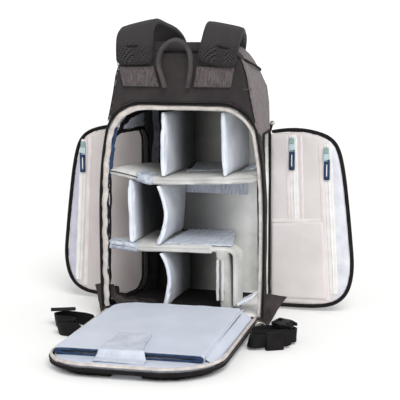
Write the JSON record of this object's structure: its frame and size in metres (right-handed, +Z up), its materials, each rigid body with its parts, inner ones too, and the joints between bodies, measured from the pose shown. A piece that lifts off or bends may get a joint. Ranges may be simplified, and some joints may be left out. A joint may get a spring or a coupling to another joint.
{
  "type": "camera backpack",
  "caption": "Padded camera backpack standing upright, opened flat at the back with both side doors swung wide, showing padded cells and a laptop sleeve.",
  "frame": {"origin": "middle of the bag's base, on the floor; the middle of the body's depth and width", "axes": "+Z up; the open back and the folded-down back panel face -Y; +X is the right-hand side seen from the open back"},
  "size_m": [0.5702, 0.5723, 0.5456],
  "materials": {
    "heather": "heathered grey woven shell cloth",
    "charcoal": "charcoal ripstop cloth",
    "black": "black padded cloth and webbing",
    "mesh": "dark air mesh over padding",
    "cream": "pale woven zip band",
    "velour": "light grey brushed lining",
    "satin": "pale blue-grey coated nylon",
    "beige": "warm grey coated nylon lining",
    "navy": "navy woven binding",
    "green": "grey-green doubled cord",
    "white": "white zip tape",
    "plastic": "dark matt acetal",
    "metal": "plated zip slider"
  },
  "bodies": {
    "root": {"outer_shell": "heather", "top_lid": "heather", "lid_piping": "black", "padded_lining": "velour", "rear_zip_band": "cream", "rear_zip_tape": "black", "shelf_upper": "velour", "shelf_lower": "velour", "divider_top_left": "satin", "divider_top_right": "satin", "divider_mid_left": "satin", "divider_mid_curved": "satin", "divider_low_curved": "satin", "divider_low_block": "velour", "cell_flap_middle": "satin", "cell_flap_right": "satin", "shelf_flap_lower": "satin", "shelf_flap_upper": "satin", "base_flap": "satin", "back_yoke": "charcoal", "strap_base_left": "heather", "strap_base_right": "heather", "shoulder_strap_left": "mesh", "shoulder_strap_right": "mesh", "grab_handle": "charcoal", "side_door_left": "beige", "door_rim_left": "black", "side_door_right": "beige", "door_rim_right": "black", "door_pocket_right": "beige", "zip_tape_right_inner": "white", "pull_cord_right_inner": "green", "pull_tag_right_inner": "navy", "zip_tape_right_outer": "white", "pull_cord_right_outer": "green", "pull_tag_right_outer": "navy", "zip_tape_left": "white", "pull_cord_left": "green", "pull_tag_left": "navy", "back_panel": "satin", "panel_zip_teeth": "black", "panel_zip_band": "cream", "back_pad_left": "black", "back_pad_right": "black", "laptop_sleeve": "satin", "sleeve_binding": "navy", "sleeve_tab": "satin", "base_gusset_left": "black", "base_gusset_right": "black", "hip_webbing_right": "black", "hip_webbing_left": "black", "hip_buckle_right": "plastic", "hip_buckle_left": "plastic", "webbing_keeper": "black", "door_slider": "metal", "panel_slider": "metal", "panel_ring": "metal"}
  },
  "joints": []
}
